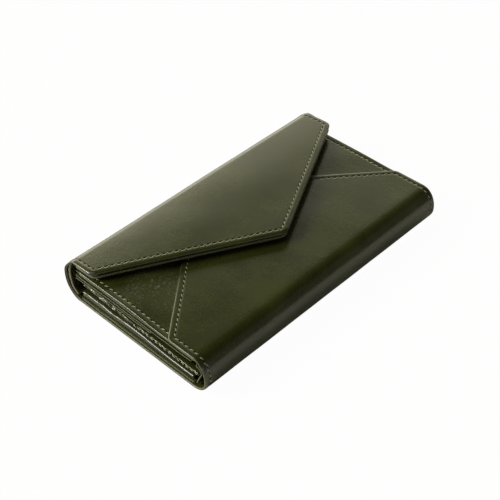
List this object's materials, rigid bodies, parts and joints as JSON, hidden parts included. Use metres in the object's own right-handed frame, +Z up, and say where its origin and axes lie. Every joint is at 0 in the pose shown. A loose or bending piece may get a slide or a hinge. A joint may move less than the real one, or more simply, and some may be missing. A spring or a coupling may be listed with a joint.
{
  "type": "envelope wallet",
  "caption": "Long leather wallet folded in three, with an envelope front, a pointed snap flap, a gusseted bill compartment, a flat pocket and card slots.",
  "frame": {"origin": "middle of the footprint, on the surface that the wallet lies on", "axes": "+X along the wallet's length, +Y from the front fold to the spine, +Z up through the flap"},
  "size_m": [0.19, 0.11, 0.0295],
  "materials": {
    "cover_leather": "glazed dark olive leather with pale thread",
    "lining_leather": "smooth olive lining leather",
    "card_leather": "thin olive leather, slightly matt",
    "gusset_leather": "thin glossy olive leather",
    "flap_board": "stiff board sheet",
    "snap_metal": "brushed, with a thin lacquer"
  },
  "bodies": {
    "case": {"outer_cover": "cover_leather", "wing_panel_left": "cover_leather", "wing_panel_right": "cover_leather", "front_lining": "lining_leather", "spine_lining": "lining_leather", "back_lining": "lining_leather", "fold_lining": "lining_leather", "card_backing": "card_leather", "card_slot_1": "card_leather", "card_slot_2": "card_leather", "card_slot_3": "card_leather", "pocket_back_panel": "gusset_leather", "pocket_front_panel": "gusset_leather", "pocket_binding_left": "gusset_leather", "pocket_binding_right": "gusset_leather", "gusset_left": "gusset_leather", "gusset_right": "gusset_leather", "snap_socket": "snap_metal", "snap_socket_washer": "snap_metal"},
    "flap": {"flap_outer": "cover_leather", "flap_core": "flap_board", "flap_lining": "lining_leather", "snap_stud": "snap_metal", "snap_stud_washer": "snap_metal"}
  },
  "joints": [
    {"name": "flap_fold", "type": "hinge", "parent": "case", "child": "flap", "pos_m": [0, 0.04585, 0.02965], "axis": [-1, 0, 0], "range_deg": [0, 175]}
  ]
}
